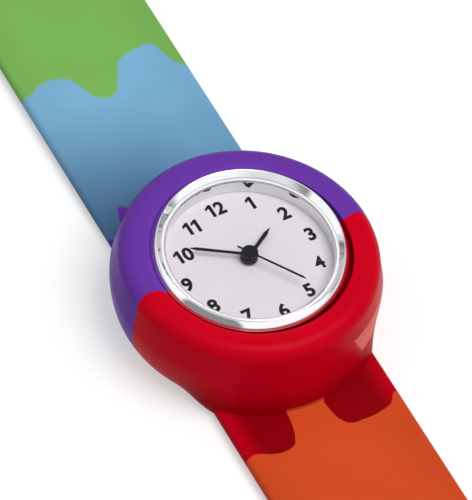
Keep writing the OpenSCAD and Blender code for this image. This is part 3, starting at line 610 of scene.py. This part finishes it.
head = {
    "radius": 20.95,          # mm, at its widest
    "belly": 9.0,             # height of the widest place
    "footDraw": 4.15,         # how far the side draws in down to the foot
    "footSteps": 30,
    "rimRadius": 20.2,
    "rimHeight": 15.1,
    "rimRound": 2.6,
    "rimEnd": 82,             # degrees of its round, up to the slope down to the collar
    "rimSteps": 10,
    "collarHeight": 14.74,
    "collarRadius": 15.6,
    "collarLip": 0.12,
    "lipSteps": 4,
    "collarShift": 0.27,      # the soft collar stands off the bezel on one side
    "collarReach": 0.5,       # how near to its radius the collar's vertices are
    "shiftTurn": -35.0,       # degrees, the side on which it does
    "ledgeHeight": 14.41,
    "pocketRadius": 14.3,
    "pocketFloor": 6.0,
    "crownHeight": 9.325,
    "crownPocket": 1.5,
    "crownMiddle": 14.7,      # off the dial axis
    "crownSides": 40,
    "sweepInner": 16.6,       # the sweep leaves the pocket's wall inside this radius alone
    "sweepReach": 22.1,       # where the sweep onto the band ends
    "sweepHeight": 9.0,
    "sweepStart": 1.2,        # height over which it grows from the foot
    "sweepFull": 32.0,        # degrees off the band's middle up to which the sweep is full
    "sweepNone": 60.0,        # and where it has faded out
    "grooveDepth": 2.2,       # of the dark gap round the bezel
    "sides": 240,
    "smoothAngle": 35,        # degrees
}


def smoothShare(value):
    share = min(1.0, max(0.0, value))
    return share * share * (3 - 2 * share)


def sweepRoots(piece):
    # draws the wall out into a hollow sweep that runs down onto the band and fades out round the sides
    h = head
    base = band["thickness"]
    for vert in piece.data.vertices:
        x, y, z = vert.co / mm
        radius = math.hypot(x, y)
        if radius < h["sweepInner"] or z > h["sweepHeight"]:
            continue
        rise = max(0.0, (z - base) / (h["sweepHeight"] - base))
        reach = h["radius"] + (h["sweepReach"] - h["radius"]) * (1 - rise) ** 2
        offMiddle = math.degrees(math.asin(min(1.0, abs(x) / radius)))
        fade = smoothShare((h["sweepNone"] - offMiddle) / (h["sweepNone"] - h["sweepFull"]))
        fade *= smoothShare(z / h["sweepStart"])
        grown = radius + max(0.0, reach - radius) * fade
        vert.co.x *= grown / radius
        vert.co.y *= grown / radius


def makeHead():
    h = head
    footAngles = [math.radians(90 * k / h["footSteps"] - 90) for k in range(h["footSteps"] + 1)]
    footArc = [(h["radius"] - h["footDraw"] * (1 - math.cos(a)), h["belly"] * (1 + math.sin(a)))
               for a in footAngles]
    rimArc = arcPoints((h["rimRadius"] - h["rimRound"], h["rimHeight"] - h["rimRound"]),
                       h["rimRound"], 0, h["rimEnd"], h["rimSteps"])
    lipArc = arcPoints((h["collarRadius"] + h["collarLip"], h["collarHeight"] - h["collarLip"]),
                       h["collarLip"], 90, 180, h["lipSteps"])
    grooveFloor = h["ledgeHeight"] - h["grooveDepth"]
    profile = [(axisGap, 0)] + footArc + rimArc + lipArc + [
        (h["collarRadius"], grooveFloor), (h["pocketRadius"], grooveFloor),
        (h["pocketRadius"], h["pocketFloor"]), (axisGap, h["pocketFloor"])]
    piece = turnedShape("siliconeHead", profile, h["sides"])
    sweepRoots(piece)
    turn = math.radians(h["shiftTurn"])
    for vert in piece.data.vertices:
        offCollar = abs(math.hypot(vert.co.x, vert.co.y) / mm - h["collarRadius"])
        if offCollar < h["collarReach"] and vert.co.z > (grooveFloor - band["slack"]) * mm:
            vert.co.x += h["collarShift"] * math.cos(turn) * mm
            vert.co.y += h["collarShift"] * math.sin(turn) * mm
    drillAcross(piece, h["crownPocket"], h["crownMiddle"], h["crownHeight"], h["crownSides"])
    smoothByAngle(piece, h["smoothAngle"])
    keepRestPlace(piece)
    coverWith(piece, headMaterial)
    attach(piece, "band")
    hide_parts("silicone_purple", "silicone_red", "silicone_blue_root")


makeHead()
print("head made")

# Metals, plastics, lacquers and glass

# Each has the size of its grain or the pitch of its turning marks in mm, and how far these move the
# roughness, the shade and, by strength and by depth in mm, the surface
turnedPitch = math.tau / 20      # of the rings that a wave texture of scale 1 draws
turnedWaver = 0.4                # how far they stray
finishes = {
    # plated over a polished ring: nearly a mirror, with a trace of unevenness
    "chromePlating": {"colour": "D9DADC", "grain": 2.0, "roughness": (0.048, 0.075),
                      "shade": (0.99, 1.01), "bump": (0.3, 0.0005), "sockets": {"Metallic": 1.0}},
    # cold-rolled and tempered: a grey satin
    "rolledSpringSteel": {"colour": "B4B6B8", "grain": 0.3, "roughness": (0.256, 0.4),
                          "shade": (0.96, 1.04), "bump": (0.3, 0.004), "sockets": {"Metallic": 1.0}},
    # stamped from sheet and left bare: soft yellow, a little uneven
    "stampedBrass": {"colour": "CDA858", "grain": 0.25, "roughness": (0.272, 0.425),
                     "shade": (0.96, 1.04), "bump": (0.3, 0.004), "sockets": {"Metallic": 1.0}},
    # punched from soft iron sheet: dull dark grey
    "softIron": {"colour": "82868C", "grain": 0.2, "roughness": (0.32, 0.5),
                 "shade": (0.96, 1.04), "bump": (0.3, 0.004), "sockets": {"Metallic": 1.0}},
    # pressed and sintered powder: dark and mottled
    "sinteredMagnet": {"colour": "4A4C50", "grain": 0.15, "roughness": (0.4, 0.625),
                       "shade": (0.92, 1.08), "bump": (0.3, 0.01), "sockets": {"Metallic": 1.0}},
    # fine copper wire under clear enamel: reddish, broken up by its turns
    "enamelledWire": {"colour": "B4561F", "grain": 0.1, "roughness": (0.28, 0.4375),
                      "shade": (0.85, 1.15), "bump": (0.3, 0.01), "sockets": {"Metallic": 0.4}},
    # faced on a lathe: rings round the dial axis catch the light in a cross, drawn coarser than the
    # real marks so that they show; the brass is gilded
    "turnedSteel": {"colour": "C8CACC", "pitch": 0.754, "roughness": (0.221, 0.312),
                    "shade": (0.97, 1.02), "bump": (0.2, 0.004), "sockets": {"Metallic": 1.0}},
    "gildedBrass": {"colour": "D6B066", "pitch": 0.5027, "roughness": (0.204, 0.288),
                    "shade": (0.97, 1.02), "bump": (0.2, 0.004), "sockets": {"Metallic": 1.0}},
    # injection-moulded: a soft even sheen
    "mouldedNylon": {"colour": "ECECEC", "grain": 0.3, "roughness": (0.32, 0.5),
                     "shade": (0.97, 1.03), "bump": (0.3, 0.01)},
    "mouldedAcetal": {"colour": "E2DED0", "grain": 0.3, "roughness": (0.36, 0.5625),
                      "shade": (0.97, 1.03), "bump": (0.3, 0.01)},
    # pressed rubber: nearly matt
    "gasketRubber": {"colour": "343436", "grain": 0.3, "roughness": (0.48, 0.75),
                     "shade": (0.97, 1.03), "bump": (0.3, 0.01)},
    # stamped brass disc under white lacquer: nearly flat, with a trace of orange peel
    "dialLacquer": {"colour": "F3EAF3", "grain": 1.2, "detail": 1, "shade": (0.985, 1.0),
                    "bump": (0.1, 0.004), "sockets": {"Roughness": 0.35}},
    # flat polished mineral glass: the dial is seen straight through it, with a trace of gloss
    "mineralCrystal": {"colour": "3A4044", "grain": 6.0, "detail": 1, "roughness": (0.01, 0.04),
                       "sockets": {"IOR": 1.5, "Alpha": 0.05}},
    # stamped hands under gloss black lacquer: sharp thin highlights
    "handLacquer": {"colour": "060505", "grain": 0.4, "detail": 2, "roughness": (0.18, 0.3),
                    "sockets": {"Specular IOR Level": 0.25}},
    # pad-printed ink: dull black with a slightly uneven film
    "padPrintInk": {"colour": "060607", "grain": 0.3, "detail": 2, "roughness": (0.45, 0.65),
                    "sockets": {"Specular IOR Level": 0.2}},
}
finishedNodes = {
    "chromePlating": ("case", "crown"),
    "rolledSpringSteel": [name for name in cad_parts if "strip" in name],
    "stampedBrass": ("movement_plate", "train_bridge"),
    "softIron": ("stator",),
    "sinteredMagnet": ("rotor",),
    "enamelledWire": ("coil",),
    "turnedSteel": ("case_back", "battery", "stem"),
    "gildedBrass": ("hour_wheel", "minute_wheel", "centre_wheel", "third_wheel", "fourth_wheel",
                    "fifth_wheel"),
    "mouldedNylon": ("crystal_gasket",),
    "mouldedAcetal": ("movement_ring",),
    "gasketRubber": ("back_gasket",),
    "dialLacquer": ("dial",),
    "mineralCrystal": ("crystal",),
    "handLacquer": ("hour_hand", "minute_hand", "second_hand"),
}


def texturedFinish(name, look):
    # a surface whose grain or turning marks change its gloss, its shade and its height
    material, tree, shader = newMaterial(name)
    place = addNode(tree, "ShaderNodeTexCoord")
    if "pitch" in look:
        rings = addNode(tree, "ShaderNodeTexWave", {"wave_type": "RINGS", "rings_direction": "Z"}, {
            "Vector": place.outputs["Object"], "Scale": turnedPitch / (look["pitch"] * mm),
            "Distortion": turnedWaver})
        pattern, span = rings.outputs[1], {}
    else:
        grain = addNode(tree, "ShaderNodeTexNoise", None, {
            "Vector": place.outputs["Object"], "Scale": 1 / (look["grain"] * mm),
            "Detail": look.get("detail", 3)})
        pattern, span = grain.outputs[0], noiseSpan
    moved = {}
    for key in ("roughness", "shade"):
        if key in look:
            ramp = addNode(tree, "ShaderNodeMapRange", None, {
                **span, "Value": pattern, "To Min": look[key][0], "To Max": look[key][1]})
            moved[key] = ramp.outputs["Result"]
    if "roughness" in moved:
        tree.links.new(moved["roughness"], shader.inputs["Roughness"])
    if "shade" in moved:
        tinted = addNode(tree, "ShaderNodeHueSaturation", None, {
            "Color": toLinear(look["colour"]), "Value": moved["shade"]})
        tree.links.new(tinted.outputs["Color"], shader.inputs["Base Color"])
    else:
        shader.inputs["Base Color"].default_value = toLinear(look["colour"])
    if "bump" in look:
        strength, depth = look["bump"]
        bump = addNode(tree, "ShaderNodeBump", None, {
            "Height": pattern, "Strength": strength, "Distance": depth * mm})
        tree.links.new(bump.outputs["Normal"], shader.inputs["Normal"])
    for socket, value in look.get("sockets", {}).items():
        shader.inputs[socket].default_value = value
    return material


made = {name: texturedFinish(name, look) for name, look in finishes.items()}
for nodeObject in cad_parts.values():
    coverWith(nodeObject, headMaterial)      # the silicone's own solids keep it
for finishName, nodeNames in finishedNodes.items():
    for nodeName in nodeNames:
        coverWith(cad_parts[nodeName], made[finishName])
print("metals mixed")

# Case: turned and plated, with the bezel in one piece

case = {
    "radius": 14.0,           # mm
    "bottom": 6.2,
    "chamfer": 0.12,
    "bezelRadius": 15.3,
    "bezelTop": 16.14,
    "bezelSeat": 13.9,
    "wallTop": 14.74,         # up to here the ring's outside is straight
    "wallBevel": (0.05, 0.08),       # inwards and down, at the foot of the cone
    "coneSteps": 9,
    "coneSwell": 0.06,        # how far the cone bulges halfway up
    "coneEnd": (0.07, 0.04),  # outside the crest's radius and below its top
    "crestRadius": 14.36,
    "crestInset": 0.02,
    "crestRound": 0.1,
    "crestTurn": (35, 145),   # degrees of its round, from the cone to the inner slope
    "crestSteps": 6,
    "boreRadius": 13.6,
    "boreBevel": 0.06,
    "wallRadius": 12.9,
    "crystalSeat": 14.75,
    "shoulder": 12.4,
    "cavity": 13.2,
    "backSeat": 13.5,
    "backDepth": 0.8,
    "notchRadius": 1.3,
    "notchDepth": 0.45,
    "notchSides": 48,
    "stemHole": 0.4,          # radius
    "stemHoleSides": 24,
    "sides": 192,
    "smoothAngle": 30,        # degrees
}
crystal = {
    "top": 15.02,             # mm, where the bore ends and the bezel's inner slope begins
    "ringInner": 13.2,        # inside of the white gasket
    "play": 0.02,             # round the glass and round its gasket
    "ringDrop": 0.03,         # how far the gasket's top lies below the bore's
    "ringBevels": (0.06, 0.02),      # outer and inner
    "rise": 0.02,             # of the glass above its gasket
    "bevel": (0.08, 0.06),    # the glass's ground edge, across and down
}


def makeCase():
    c = case
    # a cone up from the ring's edge to a narrow crest, and a slope from there down to the crystal
    foot = (c["bezelRadius"] - c["wallBevel"][0], c["wallTop"])
    end = (c["crestRadius"] + c["coneEnd"][0], c["bezelTop"] - c["coneEnd"][1])
    ring = [(c["bezelRadius"], c["wallTop"] - c["wallBevel"][1]), foot]
    for k in range(1, c["coneSteps"]):
        share = k / c["coneSteps"]
        ring.append((foot[0] + (end[0] - foot[0]) * share + c["coneSwell"] * math.sin(math.pi * share),
                     foot[1] + (end[1] - foot[1]) * share))
    ring += arcPoints((c["crestRadius"] - c["crestInset"], c["bezelTop"] - c["crestRound"]),
                      c["crestRound"], *c["crestTurn"], c["crestSteps"])
    ring += [(c["boreRadius"] + c["boreBevel"], crystal["top"] + c["boreBevel"]),
             (c["boreRadius"], crystal["top"])]
    backTop = c["bottom"] + c["backDepth"]
    profile = [(c["backSeat"], c["bottom"]), (c["radius"] - c["chamfer"], c["bottom"]),
               (c["radius"], c["bottom"] + c["chamfer"]), (c["radius"], c["bezelSeat"]),
               (c["bezelRadius"], c["bezelSeat"])] + ring + [
        (c["boreRadius"], c["crystalSeat"]), (c["wallRadius"], c["crystalSeat"]),
        (c["wallRadius"], c["shoulder"]), (c["cavity"], c["shoulder"]),
        (c["cavity"], backTop), (c["backSeat"], backTop)]
    piece = turnedShape("platedCase", profile, c["sides"])
    # the crown's notch, from its depth outwards, and the stem's hole
    notchMiddle = c["radius"] - c["notchDepth"] + drillLength / 2
    drillAcross(piece, c["notchRadius"], notchMiddle, head["crownHeight"], c["notchSides"])
    drillAcross(piece, c["stemHole"], c["cavity"], head["crownHeight"], c["stemHoleSides"])
    smoothByAngle(piece, c["smoothAngle"])
    coverWith(piece, made["chromePlating"])
    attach(piece, "capsule")
    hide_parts("case")


def makeCrystal():
    # flat crystal with a ground edge, in its white gasket
    c = crystal
    inner, outer = c["ringInner"], case["boreRadius"] - c["play"]
    low, high = case["crystalSeat"], c["top"] - c["ringDrop"]
    outerBevel, innerBevel = c["ringBevels"]
    gasket = turnedShape("crystalRing", [
        (inner, low), (outer, low), (outer, high - outerBevel), (outer - outerBevel, high),
        (inner + innerBevel, high), (inner, high - innerBevel)], case["sides"])
    edge, top = inner - c["play"], high + c["rise"]
    glass = turnedShape("watchCrystal", [
        (axisGap, low), (edge, low), (edge, top - c["bevel"][1]), (edge - c["bevel"][0], top),
        (axisGap, top)], case["sides"])
    for piece, finish, node in ((gasket, "mouldedNylon", "crystal_gasket"),
                                (glass, "mineralCrystal", "crystal")):
        smoothByAngle(piece, case["smoothAngle"])
        coverWith(piece, made[finish])
        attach(piece, "capsule")
        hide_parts(node)


makeCase()
makeCrystal()
print("case made")

# Printed numbers on the dial

numbers = {
    "circle": 10.64,          # mm, radius of the ring of numbers
    "height": 2.36,           # of a figure
    "bold": 0.12,             # added to each side of a stroke
    "boldOfFour": 0.075,      # less there, so that its small window stays open
    "gap": 0.3,               # between two figures
    "turn": 1.94,             # degrees that the dial sits askew
    "face": 12.35,            # height of the dial
    "ink": 0.02,              # thickness of the print
    "capShare": 0.729,        # height of a figure as a share of the font's size
    "curveSteps": 6,
    # of the 1: how far it reaches, its lower and upper end and its root, as shares of the height
    "flag": (0.24, 0.62, 0.8, 0.76),
    "flagRoot": 0.1,          # mm that it reaches into the stem
    # small shifts in mm that balance the wider numbers in the ring
    "shifts": {1: (0.2, 0), 2: (0.1, 0), 3: (0.3, 0.1), 4: (0.2, 0.1), 5: (0.1, 0.15),
               9: (-0.15, -0.15), 10: (0.6, -0.4), 11: (0.4, -0.2), 12: (0.15, -0.15)},
}


def makeFigure(character, left):
    # one figure as a mesh, with its lower left corner at left; returns the figure and its right edge
    deselectAll()
    bpy.ops.object.text_add(location=(0, 0, 0))
    figure = bpy.context.active_object
    figure.data.body = character
    figure.data.size = numbers["height"] / numbers["capShare"] * mm
    figure.data.offset = numbers["boldOfFour" if character == "4" else "bold"] * mm
    figure.data.extrude = numbers["ink"] / 2 * mm
    figure.data.resolution_u = numbers["curveSteps"]
    bpy.ops.object.convert(target="MESH")
    figure = bpy.context.active_object
    across, up = zip(*(vert.co[:2] for vert in figure.data.vertices))
    lowX, lowY, tall = min(across), min(up), max(up) - min(up)
    reach = 0.0
    if character == "1":
        share, lowEnd, highEnd, root = numbers["flag"]
        reach = share * tall
        deselectAll()
        bpy.ops.mesh.primitive_cube_add(size=1, location=(0, 0, 0))
        flag = bpy.context.active_object
        for vert in flag.data.vertices:
            outer = vert.co.x < 0
            height = (highEnd if outer else 1.0) if vert.co.y > 0 else (lowEnd if outer else root)
            vert.co.x = lowX + (-reach if outer else numbers["flagRoot"] * mm)
            vert.co.y = lowY + height * tall
            vert.co.z *= numbers["ink"] * mm
        combine(figure, flag, "UNION")
    figure.data.transform(Matrix.Translation((left - lowX + reach, -lowY, 0)))
    return figure, left + reach + max(across) - lowX


def makeNumbers():
    pieces = []
    for hour in range(1, 13):
        figures, right = [], 0.0
        for character in str(hour):
            figure, edge = makeFigure(character, right)
            right = edge + numbers["gap"] * mm
            figures.append(figure)
        across, up = zip(*(vert.co[:2] for figure in figures for vert in figure.data.vertices))
        middle = Vector(((min(across) + max(across)) / 2, (min(up) + max(up)) / 2, 0))
        angle = math.radians(90 - 30 * hour + numbers["turn"])
        spot = Vector((math.cos(angle), math.sin(angle), 0)) * numbers["circle"] * mm
        spot += Vector((*numbers["shifts"].get(hour, (0, 0)), 0)) * mm
        spot.z = (numbers["face"] + numbers["ink"] / 2) * mm
        turn = Matrix.Rotation(math.radians(numbers["turn"]), 4, "Z")
        for figure in figures:
            figure.data.transform(Matrix.Translation(spot) @ turn @ Matrix.Translation(-middle))
            coverWith(figure, made["padPrintInk"])
        pieces += figures
    deselectAll()
    for figure in pieces:
        figure.select_set(True)
    bpy.context.view_layer.objects.active = pieces[0]
    bpy.ops.object.join()
    piece = bpy.context.active_object
    piece.name = piece.data.name = "dialNumbers"
    fixNormals(piece)
    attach(piece, "capsule")


makeNumbers()
print("numbers printed")

# Floor, world and lamps

studio = {
    "floorDrop": 0.02,        # mm under the watch
    "floorSize": 3.0,         # m
    "paper": "CACACA",
    "paperGlow": 0.45,        # lifts the paper to white where it is seen
    "skyLight": 0.36,         # soft light from all round
    "nearSide": (-0.57, -0.82, 0),       # side of the room in front of the watch
    "leftScreen": (-0.88, -0.47, 0),     # dark screens that stand round the watch
    "rightScreen": (0.98, 0.17, 0),
    # what the room shows, each towards a side: where its ramp begins and ends, its lowest and highest
    # place and its shade
    "zones": (("nearSide", 0.25, -0.1, 0.24, 2.0, "B4AFB3"),
              ("nearSide", 0.3, 0.6, 0.4, 0.62, "8A8688"),
              ("leftScreen", 0.82, 0.88, -0.1, 0.36, "080808"),
              ("rightScreen", 0.7, 0.86, -0.1, 0.36, "1A1617")),
    "zoneSoft": 0.08,         # softness of their lower and upper ends
    # each lamp: its place and its size in m, and its power in W
    "lamps": {"keyLamp": ((0.16, -0.2, 0.7), 0.5, 4.0), "fillLamp": ((-0.5, 0.3, 0.7), 0.6, 0.6)},
}


def whiteBehind(tree, plain, glow):
    # the camera, and mirrors and glass, see the backdrop lifted to white
    path = addNode(tree, "ShaderNodeLightPath")
    direct = addNode(tree, "ShaderNodeMath", {"operation": "MAXIMUM"}, {
        0: path.outputs["Is Camera Ray"], 1: path.outputs["Is Glossy Ray"]})
    seen = addNode(tree, "ShaderNodeMath", {"operation": "MAXIMUM"}, {
        0: direct.outputs[0], 1: path.outputs["Is Transmission Ray"]})
    lifted = addNode(tree, "ShaderNodeAddShader", None, {0: plain, 1: glow})
    mix = addNode(tree, "ShaderNodeMixShader", None, {0: seen.outputs[0], 1: plain, 2: lifted.outputs[0]})
    return mix.outputs[0]


def makeFloor():
    deselectAll()
    bpy.ops.mesh.primitive_plane_add(size=studio["floorSize"], location=(0, 0, -studio["floorDrop"] * mm))
    floor = bpy.context.active_object
    floor.name = "floor"
    material = bpy.data.materials.new("paperBackdrop")
    material.use_nodes = True
    tree = material.node_tree
    tree.nodes.clear()
    paper = addNode(tree, "ShaderNodeBsdfDiffuse", None, {"Color": toLinear(studio["paper"])})
    glow = addNode(tree, "ShaderNodeEmission", None, {
        "Color": toLinear("FFFFFF"), "Strength": studio["paperGlow"]})
    addNode(tree, "ShaderNodeOutputMaterial", None, {
        "Surface": whiteBehind(tree, paper.outputs[0], glow.outputs[0])})
    floor.data.materials.append(material)


def makeWorld():
    # what is seen, also in metal and glass: a white room with two dark screens, greyer above at the
    # far side and in a strip in front
    world = bpy.data.worlds.new("studioWorld")
    world.use_nodes = True
    bpy.context.scene.world = world
    tree = world.node_tree
    tree.nodes.clear()
    place = addNode(tree, "ShaderNodeTexCoord")
    split = addNode(tree, "ShaderNodeSeparateXYZ", None, {"Vector": place.outputs["Generated"]})
    colour = toLinear("FFFFFF")
    for side, start, end, low, high, shade in studio["zones"]:
        facing = addNode(tree, "ShaderNodeVectorMath", {"operation": "DOT_PRODUCT"}, {
            0: place.outputs["Generated"], 1: studio[side]})
        colour = paintOver(tree, colour, toLinear(shade), 1.0, [(facing.outputs["Value"], start, end)]
                           + between(split.outputs["Z"], low, high, studio["zoneSoft"]))
    seen = addNode(tree, "ShaderNodeBackground", None, {"Color": colour, "Strength": 1.0})
    soft = addNode(tree, "ShaderNodeBackground", None, {
        "Color": toLinear("FFFFFF"), "Strength": studio["skyLight"]})
    addNode(tree, "ShaderNodeOutputWorld", None, {
        "Surface": whiteBehind(tree, soft.outputs[0], seen.outputs[0])})


def addLamp(name, spot, size, power):
    data = bpy.data.lights.new(name, "AREA")
    data.energy = power
    data.size = size
    lamp = bpy.data.objects.new(name, data)
    bpy.context.scene.collection.objects.link(lamp)
    lamp.location = spot
    lamp.rotation_euler = (-Vector(spot)).to_track_quat("-Z", "Y").to_euler()


makeFloor()
makeWorld()
for lampName, lampSetup in studio["lamps"].items():
    addLamp(lampName, *lampSetup)
bpy.context.scene.view_settings.view_transform = "Standard"
print("studio lit")
